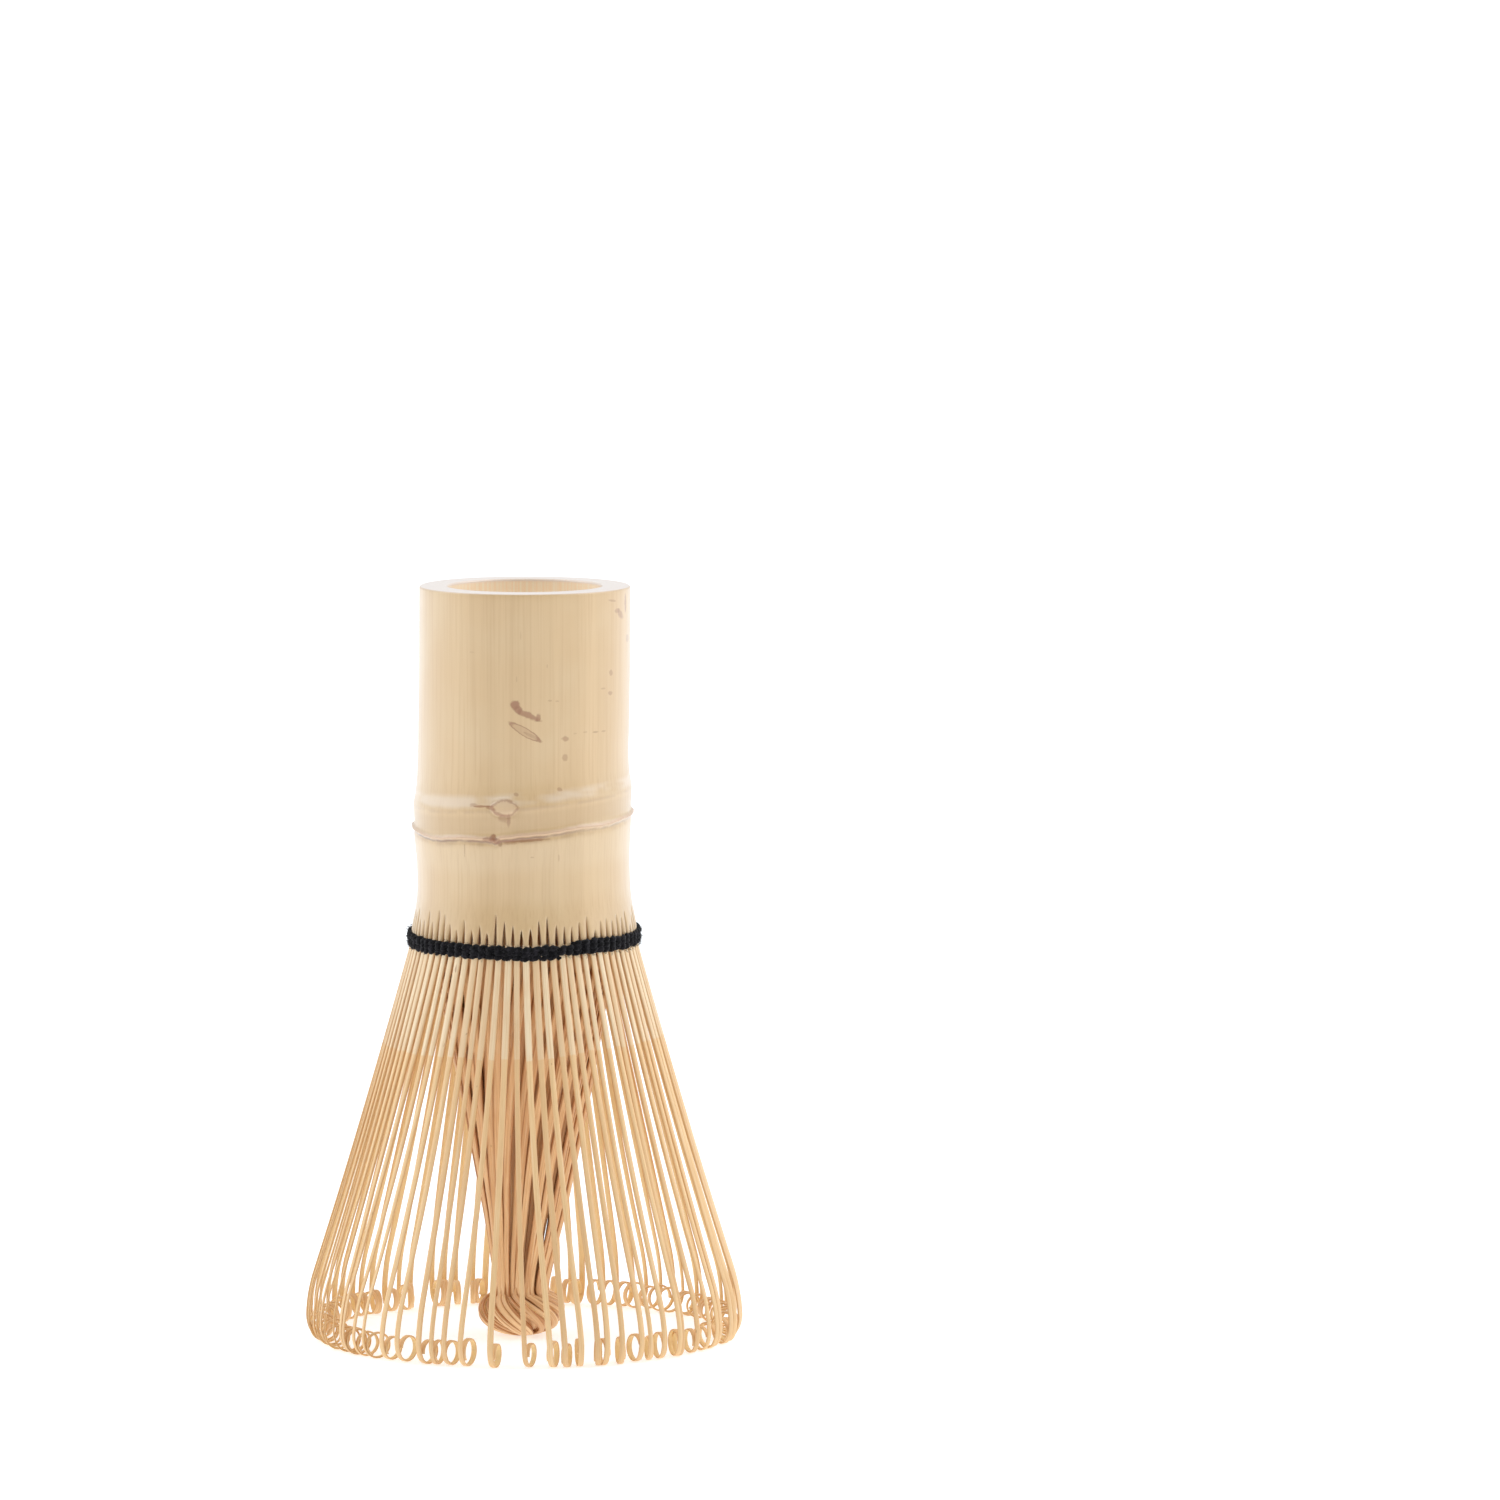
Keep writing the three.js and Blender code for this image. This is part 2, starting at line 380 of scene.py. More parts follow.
def make_floor():
    half = FLOOR_HALF
    mesh = bpy.data.meshes.new("floor")
    corners = [(-half, -half, 0), (half, -half, 0), (half, half, 0), (-half, half, 0)]
    mesh.from_pydata(corners, [], [(0, 1, 2, 3)])
    paper = Shader("white_paper")
    grain = paper.noise(paper.object_place(), 900, 4)
    paper.set(Base_Color=(0.78, 0.79, 0.8, 1), Roughness=0.9, Normal=paper.bump(grain, 0.00002))
    paper.set(Emission_Color=(0.97, 0.99, 1, 1), Emission_Strength=FLOOR_GLOW)
    mesh.materials.append(paper.material)
    floor = bpy.data.objects.new("floor", mesh)
    bpy.context.scene.collection.objects.link(floor)


# ---- Materials ---------------------------------------------------------------

# The culm's marks, on the side that faces front: x, z, half width, half height, slope and strength.
DARK_MARKS = [
    (-0.9, 94.0, 0.6, 0.62, 0, 0.85), (-0.45, 93.3, 0.55, 0.5, 45, 0.75), (1.05, 92.5, 1.7, 0.44, 24, 0.75),
    (2.45, 92.2, 0.36, 0.55, 0, 0.65), (6.25, 89.0, 0.45, 0.36, 0, 0.5), (6.25, 86.3, 0.38, 0.45, 0, 0.4),
    (12.82, 98.0, 0.22, 0.42, 0, 0.45), (12.72, 95.1, 0.3, 0.3, 0, 0.45), (11.72, 95.9, 0.3, 0.12, 0, 0.3),
    (-0.75, 81.1, 0.38, 0.24, 20, 0.45), (5.55, 81.7, 0.42, 0.28, 20, 0.45),
    (10.62, 89.7, 0.4, 0.16, 0, 0.45), (11.72, 89.7, 0.3, 0.14, 0, 0.35), (9.12, 89.8, 0.3, 0.12, 0, 0.25),
    (7.75, 89.7, 0.3, 0.12, 0, 0.2), (4.15, 94.6, 0.3, 0.14, 0, 0.3), (5.15, 94.5, 0.25, 0.12, 0, 0.25),
    (14.12, 106.4, 0.3, 0.75, -20, 0.5), (13.72, 106.9, 0.35, 0.35, 0, 0.45),
    (13.02, 108.5, 0.5, 0.16, 15, 0.4), (14.87, 107.9, 0.12, 1.4, 0, 0.6),
    (15.12, 102.6, 0.14, 0.6, 0, 0.4), (-0.65, 97.8, 0.1, 0.4, 0, 0.2), (-7.15, 101.5, 0.3, 0.1, 0, 0.15),
    (3.75, 99.6, 0.12, 0.3, 0, 0.2), (-0.05, 104.0, 0.1, 0.6, 0, 0.15), (-8.25, 72.9, 0.08, 0.9, 0, 0.4),
    (5.35, 71.8, 0.1, 0.5, 0, 0.25), (1.55, 72.0, 0.25, 0.1, 0, 0.3),
]
# The bud's drip and the line that runs out from it, measured from the bud.
BUD_MARKS = [
    (-3.2, 0.15, 1.5, 0.16, -3, 0.7), (-4.4, 0.3, 0.6, 0.25, 0, 0.4), (-2.0, -0.1, 0.8, 0.28, 14, 0.6),
    (-0.1, -1.5, 0.75, 0.6, 0, 0.4), (0.6, -1.8, 0.24, 0.9, 0, 0.5), (-0.8, -0.9, 0.8, 0.3, 20, 0.4),
]
# The dark tuft in the scar ring under the bud.
SCAR_MARKS = [
    (-4.1, 74.75, 0.55, 0.55, 0, 0.8), (-3.5, 74.35, 0.5, 0.45, 0, 0.65), (-3.1, 74.0, 0.35, 0.4, 0, 0.5),
    (-4.8, 74.6, 0.9, 0.28, 0, 0.6), (0.6, 74.45, 3.4, 0.2, -3, 0.65), (-1.6, 74.2, 1.2, 0.3, 0, 0.35),
]
# Marks that show mostly as an outline.
RING_MARKS = [(0.55, 90.1, 2.45, 0.58, 31, 0.75), (1.5, 89.55, 1.2, 0.2, 26, 0.35)]
# The bud is where two circles of this radius cross, one centred above it and one below.
BUD_CIRCLE = 2.25
BUD_CIRCLE_SHIFT = 1.15
# Painted light: a glow given off by the bore's wall near the rim, standing in for light bounced inside the
# bore.
BORE_GLOW = (1.0, 0.8, 0.6, 1.0)
BORE_GLOW_STRENGTH = 0.15


def reach(shader, place, centre, size, slope=0.0, ragged=0.5):
    """How far a point is from a mark's middle, as a share of its half size: 1 along its ragged edge."""
    inputs = {
        "Vector": place,
        "Location": (centre[0] * MM, 0, centre[1] * MM),
        "Rotation": (0, math.radians(slope), 0),
        "Scale": (size[0] * MM, 1000, size[1] * MM),
    }
    local = shader.node("ShaderNodeMapping", inputs, vector_type="TEXTURE").outputs["Vector"]
    length = shader.node("ShaderNodeVectorMath", {0: local}, operation="LENGTH").outputs["Value"]
    wobble = shader.math("SUBTRACT", shader.noise(place, 1300, 3), 0.5)
    return shader.math("MULTIPLY_ADD", wobble, ragged, third=length)


def culm_material():
    """Dried bamboo skin with its node and marks, and the cut wood of the rim, the bore and the splits.

    The mesh's attributes say where things are: level and scar are heights along the slanting node and
    above the scar ring, and skin is 1 outside and 0 on cut wood.
    """
    s = Shader("culm_bamboo")
    place = s.object_place()
    x, y, z = s.split(place)
    level = s.attribute("level", "Fac")
    scar = s.attribute("scar", "Fac")
    skin = s.attribute("skin", "Fac")
    fibres = s.noise(s.stretched(place, (3000, 3000, 40)), 1, 3)
    lines = s.noise(s.stretched(place, (1100, 1100, 7)), 1, 2)
    broad = s.noise(s.stretched(place, (260, 260, 9)), 1, 2)
    clouds = s.noise(place, 75, 3)
    specks = s.noise(place, 2600, 2)

    colour = s.mix(s.range(broad, 0.3, 0.7), shade(214, 179, 128), shade(222, 188, 138))
    colour = s.mix(s.range(clouds, 0.4, 0.75, 0, 0.45), colour, shade(225, 198, 154))
    colour = s.mix(s.range(fibres, 0.42, 0.75, 0, 0.3), colour, shade(197, 155, 104))
    colour = s.mix(s.range(lines, 0.6, 0.72, 0, 0.12), colour, shade(192, 156, 106))

    def paint(mask, amount, tint):
        nonlocal colour
        colour = s.mix(s.math("MULTIPLY", mask, amount), colour, tint)

    def broken(mask, low, high, pattern=None):
        return s.math("MULTIPLY", mask, s.range(pattern or s.noise(place, 420, 3), low, high))

    # The node, from the top down: a waxy band, a painted shadow line under it along the upper ridge, and
    # the darker dip.
    wisps = s.noise(s.stretched(place, (130, 130, 400)), 1, 2)
    paint(broken(s.band(level, 79.7, 81.3, 0.5), 0.35, 0.6, wisps), 0.5, shade(240, 222, 202))
    # Painted shadow: a broken grey-brown line just under the waxy band, along the upper ridge.
    paint(broken(s.band(level, 78.9, 79.3, 0.3), 0.3, 0.6), 0.4, shade(176, 140, 106))
    paint(s.band(level, 76.0, 78.6, 0.6), 0.5, shade(196, 160, 110))
    # The scar's crest, pale and partly a painted highlight along its top, then a painted shadow line and a
    # soft painted shadow under it, which are darker to the left, and the paler skin below.
    leftwards = s.range(x, 0.012, 0.002, 0.45, 1)
    painted_shadow_line = broken(s.band(scar, -0.62, -0.3, 0.2), 0.15, 0.5)
    shadow = broken(s.band(scar, -1.2, -0.6, 0.5), 0.35, 0.65)
    # The crest's pale pink is partly the ring's own colour and partly a painted highlight along its top.
    paint(broken(s.band(scar, -0.2, 0.28, 0.16), 0.1, 0.4), 0.8, shade(222, 184, 148))
    # Painted shadow: a dark line right under the scar ring's crest, then a softer shadow below it, both
    # stronger to the left.
    paint(painted_shadow_line, s.math("MULTIPLY", leftwards, 0.9), shade(128, 82, 50))
    paint(shadow, s.math("MULTIPLY", leftwards, 0.45), shade(156, 112, 72))
    paint(s.band(level, 70.0, 74.0, 1.2), 0.2, shade(230, 206, 168))

    # The bud and the marks in front.
    front = s.math("MULTIPLY", s.math("LESS_THAN", y, 0.0), skin)
    brown = shade(156, 98, 56)
    bud_x = culm_surface_x(BUD_ANGLE)
    circle = (BUD_CIRCLE, BUD_CIRCLE)
    bud_top = reach(s, place, (bud_x, BUD_Z - BUD_CIRCLE_SHIFT), circle, 0, 0.4)
    bud_bottom = reach(s, place, (bud_x, BUD_Z + BUD_CIRCLE_SHIFT), circle, 0, 0.4)
    bud = s.math("MAXIMUM", bud_top, bud_bottom)
    paint(s.math("MULTIPLY", front, s.range(bud, 1.05, 0.85)), 0.6, shade(226, 192, 150))
    paint(s.math("MULTIPLY", front, broken(s.band(bud, 0.94, 1.04, 0.09), 0.25, 0.6)), 0.75, brown)
    bud_marks = [(bud_x + right, BUD_Z + higher, *rest) for right, higher, *rest in BUD_MARKS]
    for mark_x, mark_z, across, up, slope, strength in DARK_MARKS + bud_marks + SCAR_MARKS:
        spot = s.range(reach(s, place, (mark_x, mark_z), (across, up), slope, 1.3), 1.3, 0.7)
        paint(s.math("MULTIPLY", front, spot), strength, brown)
    for mark_x, mark_z, across, up, slope, strength in RING_MARKS:
        ring = s.band(reach(s, place, (mark_x, mark_z), (across, up), slope, 0.5), 0.86, 1.06, 0.1)
        paint(s.math("MULTIPLY", front, ring), strength, brown)
        inside = s.range(reach(s, place, (mark_x, mark_z), (across, up), slope, 0.5), 1.0, 0.8)
        paint(s.math("MULTIPLY", front, inside), 0.25, brown)

    # Cut wood: a pale rim with the dark ends of its fibres, a peach bore, and orange sides in the splits.
    cut = s.mix(s.range(specks, 0.58, 0.74, 0, 0.35), shade(236, 220, 205), shade(214, 168, 130))
    bore = s.mix(s.range(fibres, 0.3, 0.7), shade(255, 240, 214), shade(250, 226, 190))
    cut = s.mix(s.range(z, 0.1098, 0.1094), cut, bore)
    # Painted light: the bore's wall near the rim glows, fading with depth, in place of light bounced inside
    # it.
    bore_glow_mask = s.math("MULTIPLY", s.band(z, 0.1, 0.1094, 0.004), s.range(skin, 0.5, 0.1))
    s.set(Emission_Color=s.mix(bore_glow_mask, (0, 0, 0, 1), BORE_GLOW), Emission_Strength=BORE_GLOW_STRENGTH)
    split_wood = s.mix(fibres, shade(222, 170, 112), shade(196, 138, 82))
    cut = s.mix(s.range(z, 0.075, 0.07), cut, split_wood)
    colour = s.mix(s.range(skin, 0.9, 0.35), colour, cut)

    s.set(Base_Color=colour, Roughness=s.range(fibres, 0.3, 0.7, 0.34, 0.5), Specular_IOR_Level=0.5)
    s.set(Coat_Weight=0.9, Coat_IOR=1.7, Coat_Roughness=0.34, Sheen_Weight=0.35, Sheen_Roughness=0.45)
    s.set(Normal=s.bump(fibres, 0.000025, 0.6, s.bump(clouds, 0.0003, 0.25)))
    return s.material


def tine_material(name, above, below, side, dark, inner_face_with_painted_light, step_z, step_width, edge_shade):
    """Split bamboo with its fibres' streaks, in one colour below the step and another above."""
    s = Shader(name)
    across, through, along = s.split(s.attribute("fibre"))
    tone = s.attribute("tone", "Fac")
    # Each strip's tone moves its patterns, so that no two look alike.
    moved = s.math("MULTIPLY_ADD", tone, 57.0, third=across)
    fibre_place = s.node("ShaderNodeCombineXYZ", {"X": moved, "Y": through, "Z": along}).outputs[0]
    streaks = s.noise(s.stretched(fibre_place, (7, 2, 0.12)), 1, 4)
    blotches = s.noise(s.stretched(fibre_place, (0.5, 0.3, 0.16)), 1, 2)
    flecks = s.noise(s.stretched(fibre_place, (1.2, 0.5, 0.5)), 1, 1)

    ragged = s.math("MULTIPLY_ADD", blotches, 0.5, third=along)
    colour = s.mix(s.range(ragged, step_z, step_z + step_width), below, above)
    colour = s.mix(s.range(streaks, 0.4, 0.72, 0, 0.5), colour, side)
    colour = s.mix(s.range(streaks, 0.42, 0.3, 0, 0.45), colour, shade(255, 240, 212))
    colour = s.mix(s.range(tone, 0, 1, 0, 0.55), colour, dark)
    colour = s.mix(s.range(blotches, 0.5, 0.8, 0, 0.3), colour, dark)
    # Painted shade: each strip darkens towards the side colour at its edges, drawing dark lines between
    # strands.
    edge = s.math("ABSOLUTE", across)
    colour = s.mix(s.range(edge, 0.33, 0.48, 0, edge_shade), colour, side)
    colour = s.mix(s.range(flecks, 0.77, 0.82, 0, 0.5), colour, shade(150, 100, 64))
    colour = s.mix(s.range(through, 0.85, -0.4, 0, 0.8), colour, side)
    # The strips' inner faces: their own colour, made lighter with painted light against the shade they sit
    # in.
    colour = s.mix(s.range(through, -0.5, -0.95), colour, inner_face_with_painted_light)
    s.set(Base_Color=colour, Roughness=s.range(streaks, 0.3, 0.7, 0.38, 0.55), Specular_IOR_Level=0.45)
    s.set(Normal=s.bump(streaks, 0.00002, 0.6))
    return s.material


def cotton_material():
    """Dull black yarn."""
    s = Shader("black_cotton")
    place = s.object_place()
    fuzz = s.noise(place, 9000, 3)
    patches = s.noise(place, 1700, 3)
    colour = s.mix(s.range(patches, 0.4, 0.8), shade(11, 10, 12), shade(48, 45, 50))
    s.set(Base_Color=colour, Roughness=0.95, Specular_IOR_Level=0.1)
    s.set(Sheen_Weight=0.15, Sheen_Roughness=0.5)
    s.set(Normal=s.bump(fuzz, 0.00006, 1.0))
    return s.material


# ---- Culm --------------------------------------------------------------------

# The culm's outer radius against height, without the scar ring.
CULM_PROFILE = [
    (56, 16.75), (58.5, 16.5), (60, 16.35), (61.5, 16.1), (63, 15.8), (65, 15.53), (67.5, 15.44),
    (70, 15.47), (72.5, 15.62), (74.5, 15.76), (76.5, 15.72), (78, 15.78), (79.3, 15.82), (80.5, 15.62),
    (82, 15.42), (84.5, 15.3), (90, 15.3), (100, 15.3), (112, 15.3),
]
NODE_RADIUS = 15.8
NODE_CENTRE_X = -0.1
SCAR_Z = 75.3
SCAR_HEIGHT = 0.4
BUD_ANGLE = -98.5
BUD_Z = 79.15
BUD_HALF_WIDTH = 1.9
BUD_HALF_HEIGHT = 1.15
BUD_SWELL = 0.16
NOTCH_ANGLE = -104.0
BORE_RADIUS = 11.2
BORE_TAPER = 0.2
BORE_LENGTH = 30
SEPTUM_Z = 79.6
LIP = 0.32

# The skirt is split from its lower end up, into a tongue for each outer tine.
TONGUE_END_Z = 58.6
TONGUE_COLUMNS = 5
TONGUE_EDGE_DROP = 0.16
SPLIT_RADIUS = 16.3
SPLIT_STARTS = [61.3, 61.8, 62.2, 62.6, 63.2]
SPLIT_WIDTHS = (0.42, 0.6)
SPLIT_FULL_Z = 60.0
SPLIT_TAPER = 0.65

# The septum's top, as radius and height over SEPTUM_Z, and its underside, as radius and height.
SEPTUM_TOP = [(0, -0.5), (2, -0.45), (5, -0.2), (8, 0.3), (9.8, 1.0), (10.6, 2.2), (10.9, 4.0)]
SEPTUM_UNDER = [(13.0, 69.6), (12.2, 72.4), (11.2, 74.6), (9.5, 75.9), (6, 76.5), (2.5, 76.8), (0, 76.9)]
# The inside of the skirt, as height and radius.
SKIRT_INSIDE = [
    (TONGUE_END_Z, 15.5), (60, 15.3), (62, 15.0), (64, 14.6), (66, 14.1), (70, 12.9), (74, 11.8)
]


def node_slant(angle):
    """How far the node's rings are lifted at an angle: up towards +X, and a little low in front."""
    return 0.35 + 1.35 * np.cos(angle) + 0.5 * np.sin(angle)


def culm_level(angle, z):
    """Height measured along the culm's slanting node, so that each ring of the node is at one level."""
    return z - node_slant(angle) * bump(z, 77.5, 9)


def culm_centre(z):
    """The culm isn't quite straight: it leans to the right above its node."""
    return curve_through([(50, 0), (62, 0), (77, -0.2), (95, 0.08), (112, 0.22)], z)


def turned_from(angle, degrees):
    """An angle measured from a direction, in degrees between -180 and 180."""
    return np.degrees(np.angle(np.exp(1j * (angle - math.radians(degrees)))))


def notch_at(angle):
    """1 in the middle of the frayed place in the scar ring, under the bud, and 0 away from it."""
    return bump(turned_from(angle, NOTCH_ANGLE), 0, 2.5)


def above_scar(angle, z):
    """Height above the scar ring's crest, which wavers round the culm and is frayed under the bud."""
    waver = 0.1 * np.sin(5 * angle + 1) + 0.07 * np.sin(11 * angle) + 0.03 * np.sin(43 * angle)
    lifted = 0.8 * bump(turned_from(angle, 180), 0, 22) - 0.25 * bump(turned_from(angle, -144), 0, 16)
    frayed = notch_at(angle) * (0.3 + 0.12 * np.sin(90 * angle))
    return culm_level(angle, z) - SCAR_Z - waver - lifted + frayed


def culm_outside(angle, z):
    """The outer radius at an angle and height."""
    radius = curve_through(CULM_PROFILE, culm_level(angle, z))
    height = above_scar(angle, z)
    bristle = 1 + 0.14 * np.sin(160 * angle) * np.sin(37 * angle + 1)
    crest = SCAR_HEIGHT * bristle * bump(height, 0, 0.27 + 0.15 * notch_at(angle))
    radius = radius + crest - 0.1 * bump(height, -0.6, 0.35)
    across = np.radians(turned_from(angle, BUD_ANGLE)) * NODE_RADIUS / BUD_HALF_WIDTH
    bud = across ** 2 + ((z - BUD_Z) / BUD_HALF_HEIGHT) ** 2
    radius = radius + BUD_SWELL * smooth(1.6 - bud) - 0.1 * bump(bud, 1.25, 0.3)
    oval = 0.05 * np.cos(2 * angle + 0.6) + 0.03 * np.cos(3 * angle)
    return radius + oval


def culm_surface_x(degrees):
    """Where a point of the culm's node at an angle is, from left to right."""
    return NODE_RADIUS * math.cos(math.radians(degrees)) + NODE_CENTRE_X


def tine_roots(seed):
    """The outer tines' angles at the thread. Split by hand, they are a little uneven."""
    rng = random.Random(seed)
    pitch = FULL_TURN / OUTER_TINES
    return np.array([(i + 0.5) * pitch + rng.uniform(-0.11, 0.11) * pitch for i in range(OUTER_TINES)])


ROOT_ANGLES = tine_roots(4)


def closed_rows():
    """The rows of the culm's shell that go all the way round: up the bore, over the rim and down."""
    bore_bottom = BORE_RADIUS - BORE_TAPER
    rows = [("inside", r, SEPTUM_Z + z) for r, z in SEPTUM_TOP]
    for z in np.linspace(SEPTUM_Z + 6, RIM_Z - 1.2, 10):
        rows.append(("inside", bore_bottom + BORE_TAPER * (z - SEPTUM_Z) / BORE_LENGTH, z))
    quarter = np.linspace(0, math.pi / 2, 6)
    for turn in quarter:
        z = RIM_Z - LIP + LIP * math.sin(turn)
        rows.append(("inside", BORE_RADIUS + LIP * (1 - math.cos(turn)), z))
    for r in np.linspace(BORE_RADIUS + LIP + 0.5, CULM_PROFILE[-1][1] - LIP - 0.4, 7):
        rows.append(("inside", r, RIM_Z + 0.02 * math.sin(3 * r)))
    for turn in quarter:
        rows.append(("lip", -LIP + LIP * math.sin(turn), RIM_Z - LIP + LIP * math.cos(turn)))
    # The node's rows lie close together, for its fine rings.
    straight = np.linspace(RIM_Z - 1.2, 84, 24)
    node = np.arange(83.5, 72, -0.18)
    below = np.arange(71.5, 65.5, -0.6)
    rows += [("outside", 0, z) for z in np.concatenate([straight, node, below])]
    return rows


def culm():
    """The handle down to the thread: one closed shell, its skirt cut into a tongue for each outer tine.

    It is made of a sector for each tongue. A sector is a sheet of rows from the septum up the bore, over
    the rim, down the outside to the tongue's end and back up inside, and the splits' walls close it.
    """
    rng = random.Random(9)
    upper = closed_rows()
    skirt = list(np.arange(65.25, TONGUE_END_Z, -0.25)) + [TONGUE_END_Z]

    boundaries = (ROOT_ANGLES + np.roll(ROOT_ANGLES, 1)) / 2
    boundaries[0] = (ROOT_ANGLES[0] + ROOT_ANGLES[-1] - FULL_TURN) / 2
    starts = [rng.choice(SPLIT_STARTS) + rng.uniform(-0.3, 0.7) for _ in boundaries]
    widths = [rng.uniform(*SPLIT_WIDTHS) for _ in boundaries]

    columns = TONGUE_COLUMNS + 1
    share = np.linspace(0, 1, columns)
    vertices, faces, levels, scars, skins = [], [], [], [], []

    def opened(split, z):
        """How far a split is open at height z, from 0 to 1."""
        start = starts[split % OUTER_TINES]
        return float(np.clip((start - z) / (start - SPLIT_FULL_Z), 0, 1) ** SPLIT_TAPER)

    def add_row(angle, radius, z, skin):
        x = culm_centre(z) + radius * np.cos(angle)
        vertices.append(np.stack([x, radius * np.sin(angle), z], -1))
        levels.append(culm_level(angle, z))
        scars.append(above_scar(angle, z))
        skins.append(np.full(columns, float(skin)))

    for k in range(OUTER_TINES):
        low = boundaries[k]
        high = boundaries[(k + 1) % OUTER_TINES] + (FULL_TURN if k == OUTER_TINES - 1 else 0)
        base = len(vertices) * columns
        whole = low + (high - low) * share

        def tongue(z):
            """The tongue's angles at height z, and how far its surface drops towards its edges."""
            left_open, right_open = opened(k, z), opened(k + 1, z)
            left = low + 0.5 * widths[k] * left_open / SPLIT_RADIUS
            right = high - 0.5 * widths[(k + 1) % OUTER_TINES] * right_open / SPLIT_RADIUS
            left_drop = left_open * np.clip(1 - 2 * share, 0, 1) ** 2
            right_drop = right_open * np.clip(2 * share - 1, 0, 1) ** 2
            return left + (right - left) * share, TONGUE_EDGE_DROP * (left_drop + right_drop)

        for kind, r, z in upper:
            outside = culm_outside(whole, z)
            radius = {"inside": r + 0 * whole, "lip": outside + r, "outside": outside}[kind]
            add_row(whole, radius, z + 0 * whole, {"inside": 0, "lip": 1 + 3 * r, "outside": 1}[kind])
        first_outer = len(upper)
        for z in skirt:
            angle, drop = tongue(z)
            add_row(angle, culm_outside(angle, z) - drop, z + 0 * angle, True)
        first_inner = first_outer + len(skirt)
        for z in reversed(skirt):
            angle, _ = tongue(z)
            add_row(angle, curve_through(SKIRT_INSIDE, z) + 0 * angle, z + 0 * angle, False)
        for r, z in SEPTUM_UNDER:
            add_row(whole, r + 0 * whole, z + 0 * whole, False)

        for row in range(len(vertices) - base // columns - 1):
            for column in range(TONGUE_COLUMNS):
                a = base + row * columns + column
                faces.append((a, a + columns, a + columns + 1, a + 1))
        # The walls of the splits on both sides, from each split's start down.
        last = len(skirt) - 1
        for row in range(last):
            outer = base + (first_outer + row) * columns
            inner = base + (first_inner + last - row) * columns
            if skirt[row + 1] < starts[k]:
                faces.append((outer, inner, inner - columns, outer + columns))
            if skirt[row + 1] < starts[(k + 1) % OUTER_TINES]:
                end = TONGUE_COLUMNS
                faces.append((outer + end, outer + columns + end, inner - columns + end, inner + end))

    attributes = {
        "level": np.concatenate(levels),
        "scar": np.concatenate(scars),
        "skin": np.concatenate(skins),
    }
    piece = make_mesh("handle", np.concatenate(vertices), faces, culm_bamboo, attributes)
    tidy_mesh(piece)
    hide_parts("culm_handle")
    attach(piece, "handle")


# ---- Outer tines -------------------------------------------------------------

# Below this height the tines are shaved thinner, and on the right the step is a little higher.
STEP_Z = 43.1
STEP_RISE = 1.2
BELOW_STEP_WIDTH = 0.86
TINE_TOP_Z = 59.3
# How far from straight down a tine points at its root, in degrees.
TINE_TOP_HEADING = 8.3
ROOT_R = 16.05
CURL_RADIUS = 1.84
TINE_TIP_THICK = 0.25
TINE_TOP_THICK = 0.5

# How far the tips of the tines in front have spread sideways, in degrees, from the left to the right.
FIRST_SPREAD_TINE = 50
TIP_SPREAD = [-8, -7.5, -6.4, -6.5, -3.4, -3, -4.8, -3.2, -2.1, 2.8, 5.1, 5.4, 5.1, 5.4, 4, 2.8, 3, 3.6]
# How many tines away the spread dies down.
SPREAD_FADE = 5.0


def tip_spread(index):
    """The sideways spread of a tine's tip, in radians. It dies away towards the back."""
    place = index - FIRST_SPREAD_TINE
    last = len(TIP_SPREAD) - 1
    before = -place % OUTER_TINES
    after = (place - last) % OUTER_TINES
    if 0 <= place <= last:
        degrees = TIP_SPREAD[place]
    elif before < after:
        degrees = TIP_SPREAD[0] * math.exp(-before / SPREAD_FADE)
    else:
        degrees = TIP_SPREAD[-1] * math.exp(-after / SPREAD_FADE)
    return math.radians(degrees)


def tine_profile(target_radius, curl_radius, curl_turn, lift):
    """A tine's centreline in its own plane, as distance out and height, and where its curl begins.

    The straight stretch's length and heading are corrected until the tine reaches the target radius
    and comes down to the height of lift.
    """

    def trace(straight, heading_shift):
        """The centreline: out from the root, straight, round the shoulder, in, and round the curl."""
        heading = math.radians(TINE_TOP_HEADING + heading_shift)
        r, z = ROOT_R, TINE_TOP_Z
        points = [(r, z)]

        def move(length, turn, count):
            """Goes on for a length, turning by some degrees on the way, in count steps."""
            nonlocal r, z, heading
            for _ in range(count):
                heading += math.radians(turn) / count / 2
                r += math.sin(heading) * length / count
                z -= math.cos(heading) * length / count
                heading += math.radians(turn) / count / 2
                points.append((r, z))

        move(3.6, 6.6, 4)
        move(straight, 2.2, 20)
        move(6.5, -15 - heading_shift, 8)
        bend_end = len(points) - 1
        move(2.2, -28, 6)
        spiral = math.radians(curl_turn - 28)
        count = 32
        for i in range(count):
            radius = curl_radius * (1 - 0.12 * i / count)
            move(radius * spiral / count, -math.degrees(spiral) / count, 1)
        return np.array(points), bend_end

    straight, shift = 44.0, 0.0
    for _ in range(4):
        points, bend_end = trace(straight, shift)
        straight += (points[:, 1].min() - lift) / math.cos(math.radians(16))
        shift += math.degrees((target_radius - points[:, 0].max()) / (TINE_TOP_Z * 1.1))
    return trace(straight, shift)


